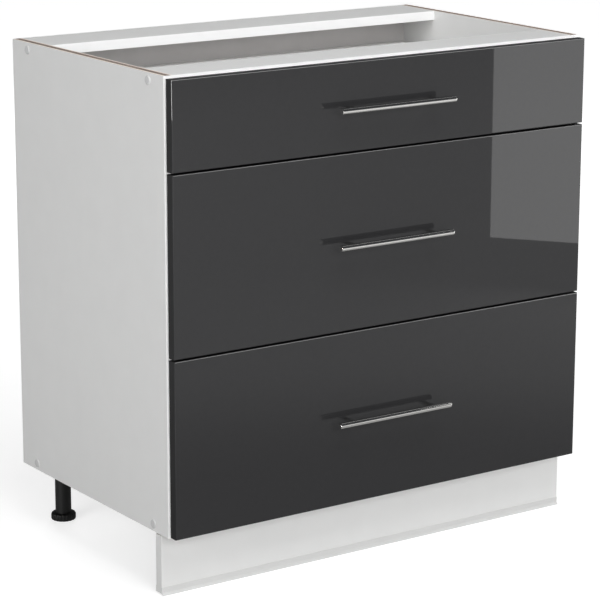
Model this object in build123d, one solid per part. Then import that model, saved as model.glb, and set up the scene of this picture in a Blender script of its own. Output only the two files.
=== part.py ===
from build123d import *
import os

# A kitchen base cabinet with three drawers, as it comes without its worktop.
# +X is to the viewer's right, the drawer fronts face -Y and +Z is up.
# The origin is on the floor, under the middle of the cabinet and its handles. Millimetres.

os.makedirs("parts", exist_ok=True)

# Carcass of melamine board
cabinet_width = 800.0
carcass_height = 720.0
carcass_depth = 470.0
board = 16.0
edge_band = 1.0
band_round = 0.6
front_rail_width = 80.0
rear_rail_width = 100.0
back_thickness = 3.0
back_inset = 8.4
groove_depth = 8.0
groove_play = 0.2

# Carcass screws and the caps that cover their heads
screw_cover = 1.5
screw_head_radius = 5.0
screw_head_height = 3.5
screw_head_sink = 0.5
screw_shank_radius = 3.5
screw_thread_radius = 2.5
screw_thread_length = 34.0
screw_socket_radius = 2.2
screw_socket_depth = 2.6
hole_play = 0.05
cap_radius = 7.2
cap_height = 1.8
cap_rim = 0.2
cap_stem_radius = 1.7
cap_stem_length = 2.6
front_screw_inset = 45.0
rear_screw_inset = 50.0

# Drawer fronts
front_thickness = 16.0
front_gap = 3.0
side_reveal = 2.0
top_reveal = 4.0
bottom_reveal = 2.0
joint_gap = 3.0
upper_front_height = 140.0
front_round = 1.6

# Bar handles
handle_length = 220.0
handle_pitch = 160.0
handle_projection = 32.0
bar_radius = 5.0
bar_end_round = 1.4
post_radius = 3.5
post_seat = 3.0

# Legs
leg_height = 100.0
leg_side_inset = 55.0
front_leg_inset = 72.0
rear_leg_inset = 36.0
foot_radius = 21.0
foot_height = 12.0
foot_chamfer = 2.5
foot_groove_radius = 1.6
foot_groove_offset = 0.6
foot_groove_count = 20
stem_radius = 6.0
stem_length = 55.0
stem_play = 0.05
tube_radius = 13.5
tube_wall = 2.4
tube_floor = 12.0
socket_plate = 62.0
socket_plate_height = 3.0
socket_plate_round = 8.0
socket_wall = 4.0
socket_depth = 22.0
socket_play = 0.1
socket_rib = 3.0
socket_rib_length = 44.6
socket_rib_slope = 13.2
socket_rib_step = 4.4
socket_screw_spacing = 40.0

# Plinth
plinth_setback = 23.0
plinth_top_gap = 2.0
plinth_floor_gap = 3.0
seal_wall = 1.0
seal_height = 10.0
seal_lip = 3.5
seal_lip_thickness = 1.3
seal_floor_gap = 0.3
clip_plate_width = 30.0
clip_plate_height = 34.0
clip_plate_thickness = 3.0
clip_wall = 2.4
clip_play = 0.1
clip_height = 12.0
clip_opening = 19.0
clip_neck = 10.0
clip_level = 52.0
clip_screw_spacing = 22.0

# Roller runners, measured inwards and upwards from the lower corner of each channel
runner_rear_space = 10.6
runner_front_inset = 2.0
runner_lift = 27.0
sheet = 1.2
bend_radius = 1.8
channel_height = 27.0
channel_floor_width = 11.6
channel_roof_width = 8.2
roof_cutaway = 34.0
roller_radius = 12.0
roller_width = 6.8
roller_chamfer = 0.8
roller_rim = 3.0
roller_hollow = 1.2
roller_side_play = 0.3
roller_play = 0.05
axle_radius = 3.0
axle_collar_radius = 4.5
axle_head = 1.0
axle_play = 0.1
roller_inset = 16.0
runner_roller_rise = 2.8
drawer_side_gap = 12.5
flange_width = 9.2
stop_height = 3.8
stop_width = 6.0
stop_play = 0.3
travel_loss = 111.0
runner_first_hole = 35.0
runner_hole_pitch = 32.0
runner_middle_share = 0.6
runner_slot_length = 9.0
runner_slot_width = 5.0

# Drawer boxes
low_side_height = 54.0
high_side_height = 86.0
high_back_height = 156.0
skirt_rise = 2.0
base_seat_width = 18.0
base_screw_inset = 10.8
base_screw_front_inset = 90.0
base_screw_rear_inset = 112.0
hem_width = 5.0
hem_drop = 7.0
back_side_play = 0.2
base_edge_ease = bend_radius - sheet + 0.2
bead_radius = 3.0
bead_height = 0.8
bead_end_space = 26.0
bead_drop = 14.0
bead_lowest = 36.0
bead_spacing = 28.0
tab_width = 22.0
tab_base_gap = 1.3
tab_top_gap = 4.8
tab_screw_inset = 13.2
tab_screw_bottom_gap = 6.0
tab_screw_top_gap = 12.0

# Gallery rails of the two deep drawers
gallery_level = 140.0
gallery_inset = 12.0
gallery_radius = 5.0
gallery_plate_width = 12.0
gallery_plate_height = 28.0
gallery_plate_thickness = 2.0
gallery_plate_round = 4.8
gallery_screw_spacing = 19.0

# Small screws: shank radius, head radius, head height and length under the head
wood_screw = (1.75, 3.6, 1.8, 12.0)
runner_screw = (2.5, 4.0, 1.5, 11.0)
handle_screw = (2.0, 4.0, 2.0, 24.0)
pilot_extra = 0.6

# Places that follow from the sizes above
half_width = cabinet_width / 2
inner_x = half_width - board
carcass_front = (handle_projection + front_thickness + front_gap - carcass_depth) / 2
carcass_rear = carcass_front + carcass_depth
carcass_bottom = leg_height
carcass_top = leg_height + carcass_height
front_face = carcass_front - front_gap - front_thickness
front_rear = carcass_front - front_gap
back_rear = carcass_rear - back_inset
back_front = back_rear - back_thickness
groove_front = back_front - groove_play / 2
groove_rear = back_rear + groove_play / 2
screw_line = board - screw_cover - screw_thread_radius
screw_rows = (carcass_front + front_screw_inset, carcass_rear - rear_screw_inset)
screw_levels = (carcass_bottom + screw_line, carcass_top - screw_line)
plinth_front = carcass_front + plinth_setback
plinth_rear = plinth_front + board
leg_x = half_width - leg_side_inset
leg_places = [
    (side * leg_x, depth)
    for depth in (carcass_front + front_leg_inset, carcass_rear - rear_leg_inset)
    for side in (-1, 1)
]
lower_front_height = (
    carcass_height - top_reveal - bottom_reveal - upper_front_height - 2 * joint_gap
) / 2
channel_front = carcass_front + runner_front_inset
drawer_end = back_front - runner_rear_space
channel_end = drawer_end + runner_front_inset
runner_roller_y = channel_front + roller_inset
drawer_roller_y = drawer_end - roller_inset - sheet
drawer_travel = drawer_end - front_rear - travel_loss
drawer_roller_rise = sheet + roller_radius + roller_play
runner_roller_level = runner_roller_rise + sheet + roller_radius
flange_level = runner_roller_level + roller_radius + roller_play
base_level = skirt_rise + sheet
tab_level = base_level + board + tab_base_gap
drawer_inner_x = inner_x - drawer_side_gap


# The web of a runner is pierced at an even pitch: three of its holes take screws, the rest are slots
def runner_holes():
    usable = channel_end - channel_front - 2 * runner_first_hole
    steps = int(usable // runner_hole_pitch)
    return [channel_front + runner_first_hole + step * runner_hole_pitch for step in range(steps + 1)]


holes = runner_holes()
runner_screw_places = [holes[0], holes[int(runner_middle_share * len(holes))], holes[-1]]
runner_slot_places = [place for place in holes if place not in runner_screw_places]


def front_levels():
    upper_top = carcass_top - top_reveal
    upper_bottom = upper_top - upper_front_height
    middle_bottom = upper_bottom - joint_gap - lower_front_height
    lower_bottom = middle_bottom - joint_gap - lower_front_height
    return {"upper": upper_bottom, "middle": middle_bottom, "lower": lower_bottom}


front_bottom = front_levels()
front_height = {
    "upper": upper_front_height,
    "middle": lower_front_height,
    "lower": lower_front_height,
}
channel_level = {name: level + runner_lift for name, level in front_bottom.items()}
side_height = {"upper": low_side_height, "middle": high_side_height, "lower": high_side_height}
back_top = {
    "upper": skirt_rise + low_side_height,
    "middle": skirt_rise + high_back_height,
    "lower": skirt_rise + high_back_height,
}
deep_drawers = ("middle", "lower")


def block(x_low, x_high, y_low, y_high, z_low, z_high):
    centre = ((x_low + x_high) / 2, (y_low + y_high) / 2, (z_low + z_high) / 2)
    return Pos(*centre) * Box(x_high - x_low, y_high - y_low, z_high - z_low)


def rod(radius, start, end):
    line = Vector(*end) - Vector(*start)
    bottom = (Align.CENTER, Align.CENTER, Align.MIN)
    return Plane(origin=start, z_dir=line) * Cylinder(radius, line.length, align=bottom)


def capsule(radius, start, end):
    return rod(radius, start, end) + Pos(*start) * Sphere(radius) + Pos(*end) * Sphere(radius)


def left_of(piece):
    return mirror(piece, about=Plane.YZ)


def save(name, *pieces):
    solids = [solid for piece in pieces for solid in piece.solids()]
    whole = solids[0] if len(solids) == 1 else Compound(children=solids)
    export_step(whole, f"parts/{name}.step")


def save_pair(name, right_piece):
    save(f"{name}_right", right_piece)
    save(f"{name}_left", left_of(right_piece))


# A plain screw: its head stands on the point, and its shank runs from there along the direction
def small_screw(sizes, point, direction):
    shank, head, height, length = sizes
    seat = Vector(*point)
    way = Vector(*direction)
    return rod(head, seat - way * height, seat) + rod(shank, seat, seat + way * length)


def screw_hole(sizes, point, direction):
    shank, _, _, length = sizes
    seat = Vector(*point)
    return rod(shank + hole_play, seat, seat + Vector(*direction) * (length + pilot_extra))


def drill(piece, sizes, points, direction):
    for point in points:
        piece -= screw_hole(sizes, point, direction)
    return piece


# Carcass

def side_screw_holes():
    recess = screw_head_sink + screw_head_height
    holes = []
    for level in screw_levels:
        for depth in screw_rows:
            mouth = (half_width, depth, level)
            holes.append(rod(screw_head_radius + hole_play, mouth, (half_width - recess, depth, level)))
            holes.append(rod(screw_shank_radius + hole_play, mouth, (inner_x, depth, level)))
    return holes


def end_screw_holes(depth, level):
    reach = inner_x - screw_thread_length - pilot_extra
    right = rod(screw_thread_radius + hole_play, (reach, depth, level), (inner_x, depth, level))
    return [right, left_of(right)]


def runner_screw_points():
    rise = drawer_roller_rise
    return [
        (inner_x - sheet, depth, level + rise)
        for level in channel_level.values()
        for depth in runner_screw_places
    ]


def side_panel():
    panel = block(
        inner_x, half_width, carcass_front + edge_band, carcass_rear, carcass_bottom, carcass_top
    )
    panel -= block(
        inner_x, inner_x + groove_depth, groove_front, groove_rear, carcass_bottom, carcass_top
    )
    for hole in side_screw_holes():
        panel -= hole
    return drill(panel, runner_screw, runner_screw_points(), (1, 0, 0))


def bottom_panel():
    top = carcass_bottom + board
    panel = block(-inner_x, inner_x, carcass_front + edge_band, carcass_rear, carcass_bottom, top)
    panel -= block(-inner_x, inner_x, groove_front, groove_rear, top - groove_depth, top)
    for depth in screw_rows:
        for hole in end_screw_holes(depth, screw_levels[0]):
            panel -= hole
    return drill(panel, wood_screw, socket_screw_points(), (0, 0, 1))


def front_rail():
    rail = block(
        -inner_x, inner_x, carcass_front + edge_band, carcass_front + front_rail_width,
        carcass_top - board, carcass_top,
    )
    for hole in end_screw_holes(screw_rows[0], screw_levels[1]):
        rail -= hole
    return rail


def rear_rail():
    underside = carcass_top - board
    rail = block(
        -inner_x, inner_x, carcass_rear - rear_rail_width + edge_band, carcass_rear,
        underside, carcass_top,
    )
    rail -= block(-inner_x, inner_x, groove_front, groove_rear, underside, underside + groove_depth)
    for hole in end_screw_holes(screw_rows[1], screw_levels[1]):
        rail -= hole
    return rail


def back_panel():
    reach = inner_x + groove_depth - groove_play
    low = carcass_bottom + board - groove_depth + groove_play
    high = carcass_top - board + groove_depth - groove_play
    return block(-reach, reach, back_front, back_rear, low, high)


# The long edges of a band are eased where its face looks forward
def rounded_band(along, *limits):
    band = block(*limits)
    face = band.faces().sort_by(Axis.Y)[0]
    return fillet(face.edges().filter_by(along), band_round)


def edge_bands():
    front = (carcass_front, carcass_front + edge_band)
    rear_rail_front = carcass_rear - rear_rail_width
    side = rounded_band(Axis.Z, inner_x, half_width, *front, carcass_bottom, carcass_top)
    rear = (rear_rail_front, rear_rail_front + edge_band)
    return [
        side,
        left_of(side),
        rounded_band(Axis.X, -inner_x, inner_x, *front, carcass_bottom, carcass_bottom + board),
        rounded_band(Axis.X, -inner_x, inner_x, *front, carcass_top - board, carcass_top),
        rounded_band(Axis.X, -inner_x, inner_x, *rear, carcass_top - board, carcass_top),
    ]


def carcass_screw(depth, level):
    face = half_width - screw_head_sink
    neck = face - screw_head_height
    tip = inner_x - screw_thread_length
    screw = rod(screw_head_radius, (neck, depth, level), (face, depth, level))
    screw += rod(screw_shank_radius, (inner_x, depth, level), (neck, depth, level))
    screw += rod(screw_thread_radius, (tip, depth, level), (inner_x, depth, level))
    socket = Plane(origin=(face, depth, level), z_dir=(-1, 0, 0)) * RegularPolygon(screw_socket_radius, 6)
    return screw - extrude(socket, screw_socket_depth)


def cover_cap(depth, level):
    cap = Cylinder(cap_radius, cap_height, align=(Align.CENTER, Align.CENTER, Align.MIN))
    cap = fillet(cap.edges().group_by(Axis.Z)[-1], cap_height - cap_rim)
    cap += rod(cap_stem_radius, (0, 0, -cap_stem_length), (0, 0, 0))
    return Plane(origin=(half_width, depth, level), z_dir=(1, 0, 0)) * cap


def at_side_screws(make):
    right = [make(depth, level) for level in screw_levels for depth in screw_rows]
    return right + [left_of(piece) for piece in right]


# Legs

def socket_screw_points():
    step = socket_screw_spacing / 2
    seat = carcass_bottom - socket_plate_height
    return [
        (x + turn * step, y + turn * step, seat)
        for x, y in leg_places
        for turn in (-1, 1)
    ]


def leg_socket(x, y):
    under = carcass_bottom - socket_plate_height
    bore = tube_radius + socket_play
    outer = bore + socket_wall
    outline = RectangleRounded(socket_plate, socket_plate, socket_plate_round)
    socket = Pos(x, y, under) * extrude(outline, socket_plate_height)
    for turn in (45, 135):
        hanging = (Align.CENTER, Align.CENTER, Align.MAX)
        rib = Box(socket_rib_length, socket_rib, socket_depth, align=hanging)
        low_ends = rib.edges().filter_by(Axis.Y).group_by(Axis.Z)[0]
        rib = chamfer(low_ends, socket_rib_slope, socket_rib_step)
        socket += Pos(x, y, under) * Rot(0, 0, turn + 90) * rib
    socket += rod(outer, (x, y, under - socket_depth), (x, y, under))
    socket -= rod(bore, (x, y, under - socket_depth), (x, y, under))
    corners = [
        point for point in socket_screw_points()
        if abs(point[0] - x) < socket_plate and abs(point[1] - y) < socket_plate
    ]
    return drill(socket, wood_screw, corners, (0, 0, 1))


def leg_tube(x, y):
    top = carcass_bottom - socket_plate_height
    tube = rod(tube_radius, (x, y, foot_height), (x, y, top))
    tube -= rod(tube_radius - tube_wall, (x, y, foot_height + tube_floor), (x, y, top))
    return tube - rod(stem_radius + stem_play, (x, y, foot_height), (x, y, top))


def foot(x, y):
    disc = Cylinder(foot_radius, foot_height, align=(Align.CENTER, Align.CENTER, Align.MIN))
    disc = chamfer(disc.edges().group_by(Axis.Z)[-1], foot_chamfer)
    groove = rod(foot_groove_radius, (0, 0, 0), (0, 0, foot_height))
    disc -= PolarLocations(foot_radius + foot_groove_offset, foot_groove_count) * groove
    disc += rod(stem_radius, (0, 0, foot_height), (0, 0, foot_height + stem_length))
    return Pos(x, y, 0) * disc


# Plinth

def clip_screw_points():
    step = clip_screw_spacing / 2
    return [
        (x, plinth_rear + clip_plate_thickness, clip_level + turn * step)
        for x, y in leg_places[:2]
        for turn in (-1, 1)
    ]


def plinth_board():
    plank = block(
        -half_width, half_width, plinth_front, plinth_rear,
        plinth_floor_gap + seal_wall, carcass_bottom - plinth_top_gap,
    )
    return drill(plank, wood_screw, clip_screw_points(), (0, -1, 0))


def plinth_seal():
    low = plinth_floor_gap
    top = low + seal_height
    front = plinth_front - seal_wall
    rear = plinth_rear + seal_wall
    outline = Polyline(
        (plinth_front, low + seal_wall),
        (plinth_front, top),
        (front, top),
        (front, low + seal_wall),
        (front - seal_lip, seal_floor_gap),
        (front - seal_lip + seal_lip_thickness, seal_floor_gap),
        (plinth_front, low),
        (rear, low),
        (rear, top),
        (plinth_rear, top),
        (plinth_rear, low + seal_wall),
        close=True,
    )
    profile = Plane(origin=(-half_width, 0, 0), x_dir=(0, 1, 0), z_dir=(1, 0, 0)) * make_face(outline)
    return extrude(profile, cabinet_width)


def plinth_clip(x, y):
    bore = tube_radius + clip_play
    low = clip_level - clip_height / 2
    high = clip_level + clip_height / 2
    plate_rear = plinth_rear + clip_plate_thickness
    clip = block(
        x - clip_plate_width / 2, x + clip_plate_width / 2, plinth_rear, plate_rear,
        clip_level - clip_plate_height / 2, clip_level + clip_plate_height / 2,
    )
    clip += block(x - clip_neck / 2, x + clip_neck / 2, plinth_rear, y - bore, low, high)
    clip += rod(bore + clip_wall, (x, y, low), (x, y, high))
    clip -= rod(bore, (x, y, low), (x, y, high))
    clip -= block(x - clip_opening / 2, x + clip_opening / 2, y, y + bore + clip_wall, low, high)
    points = [point for point in clip_screw_points() if point[0] == x]
    return drill(clip, wood_screw, points, (0, -1, 0))


# Roller runners

def runner_plane(y, level):
    return Plane(origin=(inner_x, y, level), x_dir=(-1, 0, 0), z_dir=(0, 1, 0))


def bent_sheet(points, y, level, length):
    line = Wire(FilletPolyline(*points, radius=bend_radius).edges())
    outline = line.offset_2d(sheet, side=Side.LEFT, closed=True)
    return extrude(runner_plane(y, level) * Face(outline), length)


def runner_block(u_low, u_high, y_low, y_high, rise_low, rise_high, level):
    return block(
        inner_x - u_high, inner_x - u_low, y_low, y_high, level + rise_low, level + rise_high
    )


def runner_rod(radius, u_start, u_end, y, height):
    return rod(radius, (inner_x - u_start, y, height), (inner_x - u_end, y, height))


def runner(level):
    length = channel_end - channel_front
    channel = bent_sheet(
        [(channel_roof_width, channel_height), (0, channel_height), (0, 0), (channel_floor_width, 0)],
        channel_front, level, length,
    )
    channel -= runner_block(
        sheet, channel_roof_width, channel_front, channel_front + roof_cutaway,
        channel_height - bend_radius, channel_height, level,
    )
    lug_rear = drawer_roller_y - drawer_travel - stop_play - (
        roller_radius ** 2 - (roller_radius - stop_height) ** 2
    ) ** 0.5
    channel += runner_block(
        0, channel_roof_width, lug_rear - stop_width, lug_rear, sheet / 2, sheet + stop_height, level
    )
    channel += runner_block(
        0, channel_roof_width, channel_end - sheet, channel_end, 0, roller_radius, level
    )
    height = level + runner_roller_level
    near = flange_outer()
    channel += runner_rod(axle_collar_radius, 0, near, runner_roller_y, height)
    channel += runner_rod(axle_radius, 0, near + roller_width + 2 * axle_play, runner_roller_y, height)
    far = near + roller_width + 2 * axle_play
    channel += runner_rod(axle_collar_radius, far, far + axle_head, runner_roller_y, height)
    middle = level + drawer_roller_rise
    slot = extrude(SlotOverall(runner_slot_length, runner_slot_width), sheet)
    for y in runner_slot_places:
        channel -= Plane(origin=(inner_x - sheet, y, middle), x_dir=(0, 1, 0), z_dir=(1, 0, 0)) * slot
    points = [(inner_x - sheet, y, middle) for y in runner_screw_places]
    return drill(channel, runner_screw, points, (1, 0, 0))


def flange_outer():
    return drawer_side_gap - flange_width


def roller(u_near, y, height):
    hole = axle_radius + axle_play / 2
    wheel = Cylinder(roller_radius, roller_width)
    wheel = chamfer(wheel.edges(), roller_chamfer)
    hollow = Cylinder(roller_radius - roller_rim, roller_hollow) - Cylinder(axle_collar_radius, roller_hollow)
    for end in (-1, 1):
        wheel -= Pos(0, 0, end * (roller_width - roller_hollow) / 2) * hollow
    wheel -= Cylinder(hole, roller_width)
    centre = (inner_x - u_near - roller_width / 2, y, height)
    return Plane(origin=centre, z_dir=(1, 0, 0)) * wheel


def runner_roller(level):
    return roller(flange_outer() + axle_play, runner_roller_y, level + runner_roller_level)


# Drawers

def drawer_roller_near():
    return drawer_side_gap - axle_head - axle_play - roller_width - roller_side_play


def drawer_roller(level):
    return roller(drawer_roller_near(), drawer_roller_y, level + drawer_roller_rise)


def tab_screw_rises(name):
    low = tab_level + tab_screw_bottom_gap
    high = skirt_rise + side_height[name] - tab_screw_top_gap
    return (low, high)


def front_tab_points(name):
    level = channel_level[name]
    x = drawer_inner_x - tab_screw_inset
    return [
        (side * x, front_rear + sheet, level + rise)
        for rise in tab_screw_rises(name)
        for side in (-1, 1)
    ]


def rear_tab_points(name):
    return [(x, drawer_end, z) for x, _, z in front_tab_points(name)]


def base_screw_points(name):
    x = drawer_inner_x - base_screw_inset
    level = channel_level[name] + skirt_rise
    return [
        (side * x, y, level)
        for y in (front_rear + base_screw_front_inset, drawer_end - base_screw_rear_inset)
        for side in (-1, 1)
    ]


def handle_level(name):
    return front_bottom[name] + front_height[name] / 2


def handle_screw_points(name):
    step = handle_pitch / 2
    return [(side * step, front_rear, handle_level(name)) for side in (-1, 1)]


def gallery_x():
    return drawer_inner_x - sheet - gallery_inset


def gallery_screw_points(name, y):
    step = gallery_screw_spacing / 2
    level = channel_level[name] + gallery_level
    return [
        (side * gallery_x(), y, level + turn * step)
        for side in (-1, 1)
        for turn in (-1, 1)
    ]


def bead_rises(name):
    highest = skirt_rise + side_height[name] - bead_drop
    steps = int((highest - bead_lowest) // bead_spacing)
    return [highest - step * bead_spacing for step in range(steps + 1)]


# Stiffening beads are pressed into the side from outside: a ridge within, a groove without
def press_beads(side, name):
    centre = drawer_side_gap + sheet + bead_height - bead_radius
    for rise in bead_rises(name):
        ends = [
            (inner_x - centre, y, channel_level[name] + rise)
            for y in (front_rear + bead_end_space, drawer_end - bead_end_space)
        ]
        ridge = capsule(bead_radius, *ends) & runner_block(
            drawer_side_gap + sheet / 2, centre + bead_radius, front_rear, drawer_end,
            rise - bead_radius, rise + bead_radius, channel_level[name],
        )
        side = side + ridge - capsule(bead_radius - sheet, *ends)
    return side


def drawer_side(name):
    level = channel_level[name]
    length = drawer_end - front_rear
    top = skirt_rise + side_height[name]
    gap = drawer_side_gap
    side = bent_sheet(
        [
            (gap + hem_width, top - hem_drop),
            (gap + hem_width, top),
            (gap, top),
            (gap, skirt_rise),
            (gap + base_seat_width, skirt_rise),
        ],
        front_rear, level, length,
    )
    side = press_beads(side, name)
    side += runner_block(
        flange_outer(), gap + sheet / 2, front_rear + front_gap, drawer_end,
        flange_level, flange_level + sheet, level,
    )
    for y in (front_rear, drawer_end - sheet):
        side += runner_block(
            gap + sheet / 2, gap + tab_width, y, y + sheet, tab_level, top - tab_top_gap, level
        )
    height = level + drawer_roller_rise
    near = drawer_roller_near() - axle_play
    side += runner_rod(axle_radius, near, gap + sheet / 2, drawer_roller_y, height)
    side += runner_rod(axle_collar_radius, near - axle_head, near, drawer_roller_y, height)
    side += runner_rod(
        axle_collar_radius, near + roller_width + 2 * axle_play, gap + sheet / 2, drawer_roller_y, height
    )
    right = [point for point in front_tab_points(name) + rear_tab_points(name) if point[0] > 0]
    side = drill(side, wood_screw, right, (0, -1, 0))
    under = [point for point in base_screw_points(name) if point[0] > 0]
    return drill(side, wood_screw, under, (0, 0, 1))


def drawer_base(name):
    level = channel_level[name] + base_level
    reach = drawer_inner_x - sheet
    base = block(-reach, reach, front_rear, drawer_end, level, level + board)
    base = chamfer(base.edges().filter_by(Axis.Y).group_by(Axis.Z)[0], base_edge_ease)
    return drill(base, wood_screw, base_screw_points(name), (0, 0, 1))


def drawer_back(name):
    level = channel_level[name]
    reach = drawer_inner_x - hem_width - back_side_play
    rear = drawer_end - sheet
    back = block(
        -reach, reach, rear - board, rear, level + base_level + board, level + back_top[name]
    )
    back = drill(back, wood_screw, rear_tab_points(name), (0, -1, 0))
    if name in deep_drawers:
        plate_face = rear - board - gallery_plate_thickness
        back = drill(back, wood_screw, gallery_screw_points(name, plate_face), (0, 1, 0))
    return back


def drawer_front(name):
    low = front_bottom[name]
    reach = half_width - side_reveal
    front = block(-reach, reach, front_face, front_rear, low, low + front_height[name])
    front = fillet(front.faces().sort_by(Axis.Y)[0].edges(), front_round)
    front = drill(front, wood_screw, front_tab_points(name), (0, -1, 0))
    if name in deep_drawers:
        plate_face = front_rear + gallery_plate_thickness
        front = drill(front, wood_screw, gallery_screw_points(name, plate_face), (0, -1, 0))
    return drill(front, handle_screw, handle_screw_points(name), (0, -1, 0))


def handle(name):
    level = handle_level(name)
    axis_y = front_face - handle_projection + bar_radius
    half = handle_length / 2
    bar = rod(bar_radius, (-half, axis_y, level), (half, axis_y, level))
    bar = fillet(bar.edges().filter_by(GeomType.CIRCLE), bar_end_round)
    posts = []
    for side in (-1, 1):
        x = side * handle_pitch / 2
        seat = axis_y + bar_radius - post_seat
        bar -= rod(post_radius, (x, seat, level), (x, front_face, level))
        posts.append(rod(post_radius, (x, seat, level), (x, front_face, level)))
    posts = [drill(post, handle_screw, handle_screw_points(name), (0, -1, 0)) for post in posts]
    return [bar] + posts


def gallery_rails(name):
    level = channel_level[name] + gallery_level
    rear = drawer_end - sheet - board
    thick = gallery_plate_thickness
    outline = RectangleRounded(gallery_plate_width, gallery_plate_height, gallery_plate_round)
    rail = rod(gallery_radius, (gallery_x(), front_rear, level), (gallery_x(), rear, level))
    for y in (front_rear + thick, rear):
        plate = Plane(origin=(gallery_x(), y, level), x_dir=(1, 0, 0), z_dir=(0, -1, 0)) * outline
        rail += extrude(plate, thick)
    right_front = [p for p in gallery_screw_points(name, front_rear + thick) if p[0] > 0]
    right_rear = [p for p in gallery_screw_points(name, rear - thick) if p[0] > 0]
    rail = drill(rail, wood_screw, right_front, (0, -1, 0))
    rail = drill(rail, wood_screw, right_rear, (0, 1, 0))
    return [rail, left_of(rail)]


def drawer_screws(name):
    back_face = drawer_end - sheet - board
    screws = [small_screw(wood_screw, p, (0, -1, 0)) for p in front_tab_points(name)]
    screws += [small_screw(wood_screw, p, (0, -1, 0)) for p in rear_tab_points(name)]
    screws += [small_screw(wood_screw, p, (0, 0, 1)) for p in base_screw_points(name)]
    screws += [small_screw(handle_screw, p, (0, -1, 0)) for p in handle_screw_points(name)]
    if name in deep_drawers:
        thick = gallery_plate_thickness
        front_points = gallery_screw_points(name, front_rear + thick)
        back_points = gallery_screw_points(name, back_face - thick)
        screws += [small_screw(wood_screw, p, (0, -1, 0)) for p in front_points]
        screws += [small_screw(wood_screw, p, (0, 1, 0)) for p in back_points]
    return screws


def fitting_screws():
    screws = [small_screw(wood_screw, p, (0, 0, 1)) for p in socket_screw_points()]
    screws += [small_screw(wood_screw, p, (0, -1, 0)) for p in clip_screw_points()]
    right = [small_screw(runner_screw, p, (1, 0, 0)) for p in runner_screw_points()]
    return screws + right + [left_of(screw) for screw in right]


def build_carcass():
    save_pair("side_panel", side_panel())
    save("bottom_panel", bottom_panel())
    save("front_rail", front_rail())
    save("rear_rail", rear_rail())
    save("back_panel", back_panel())
    save("edge_bands", *edge_bands())
    save("carcass_screws", *at_side_screws(carcass_screw))
    save("cover_caps", *at_side_screws(cover_cap))
    save("fitting_screws", *fitting_screws())


def build_base():
    save("leg_sockets", *[leg_socket(x, y) for x, y in leg_places])
    save("leg_tubes", *[leg_tube(x, y) for x, y in leg_places])
    names = ("foot_front_left", "foot_front_right", "foot_rear_left", "foot_rear_right")
    for name, (x, y) in zip(names, leg_places):
        save(name, foot(x, y))
    save("plinth_board", plinth_board())
    save("plinth_seal", plinth_seal())
    save("plinth_clips", *[plinth_clip(x, y) for x, y in leg_places[:2]])


def build_drawer(name):
    level = channel_level[name]
    save_pair(f"{name}_runner", runner(level))
    save_pair(f"{name}_runner_roller", runner_roller(level))
    save_pair(f"{name}_drawer_roller", drawer_roller(level))
    save_pair(f"{name}_drawer_side", drawer_side(name))
    save(f"{name}_drawer_base", drawer_base(name))
    save(f"{name}_drawer_back", drawer_back(name))
    save(f"{name}_drawer_front", drawer_front(name))
    save(f"{name}_handle", *handle(name))
    save(f"{name}_drawer_screws", *drawer_screws(name))
    if name in deep_drawers:
        save(f"{name}_gallery_rails", *gallery_rails(name))


build_carcass()
build_base()
for drawer_name in front_bottom:
    build_drawer(drawer_name)
print(f"drawer travel {drawer_travel:.2f}, carcass front {carcass_front:.2f}")
print(f"runner roller y {runner_roller_y:.3f}, drawer roller y {drawer_roller_y:.3f}")
print(f"channel levels {channel_level}, roller rises {runner_roller_level:.3f} {drawer_roller_rise:.3f}")
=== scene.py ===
import math
import bmesh
import bpy
from mathutils import Matrix, Vector


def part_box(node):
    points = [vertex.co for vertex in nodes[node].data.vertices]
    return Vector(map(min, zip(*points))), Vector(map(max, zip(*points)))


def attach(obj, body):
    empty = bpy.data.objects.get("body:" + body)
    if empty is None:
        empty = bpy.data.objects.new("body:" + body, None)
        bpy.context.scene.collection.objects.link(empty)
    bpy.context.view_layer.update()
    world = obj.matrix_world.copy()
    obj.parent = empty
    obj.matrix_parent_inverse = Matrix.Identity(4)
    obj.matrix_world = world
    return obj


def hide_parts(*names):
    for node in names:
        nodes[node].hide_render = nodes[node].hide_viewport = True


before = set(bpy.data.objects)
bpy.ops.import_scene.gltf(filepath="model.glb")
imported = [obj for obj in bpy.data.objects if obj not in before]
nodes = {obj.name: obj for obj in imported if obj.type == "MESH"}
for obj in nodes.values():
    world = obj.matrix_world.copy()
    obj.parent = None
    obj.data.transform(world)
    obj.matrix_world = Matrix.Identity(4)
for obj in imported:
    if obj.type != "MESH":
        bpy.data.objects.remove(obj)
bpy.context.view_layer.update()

# A kitchen base cabinet with three drawers, dressed around its construction model.
# Metres: X to the right, the drawer fronts face -Y, Z up, the floor is at zero.
mm = 0.001
weld = 0.002 * mm  # points of a made piece that lie closer than this become one
cadWeld = 0.01 * mm  # the same for the construction model's points
squareOn = 0.5  # share of a normal along an axis, past which a face counts as looking that way
levels = ("upper", "middle", "lower")
deepLevels = ("middle", "lower")
sides = ("left", "right")


def colour(code):
    parts = [int(code[i:i + 2], 16) / 255 for i in (1, 3, 5)]
    linear = [p / 12.92 if p <= 0.04045 else ((p + 0.055) / 1.055) ** 2.4 for p in parts]
    return (*linear, 1.0)


# Adds one node, sets it up and plugs in its inputs: a socket is linked, anything else is a value
def addNode(tree, kind, inputs=None, **settings):
    node = tree.nodes.new(kind)
    for name, value in settings.items():
        setattr(node, name, value)
    for socket, value in (inputs or {}).items():
        if isinstance(value, bpy.types.NodeSocket):
            tree.links.new(value, node.inputs[socket])
        else:
            node.inputs[socket].default_value = value
    return node


def newMaterial(name):
    material = bpy.data.materials.new(name)
    material.use_nodes = True
    material.node_tree.nodes.clear()
    return material, material.node_tree


def dress(material, *names):
    for name in names:
        nodes[name].data.materials.clear()
        nodes[name].data.materials.append(material)


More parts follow.
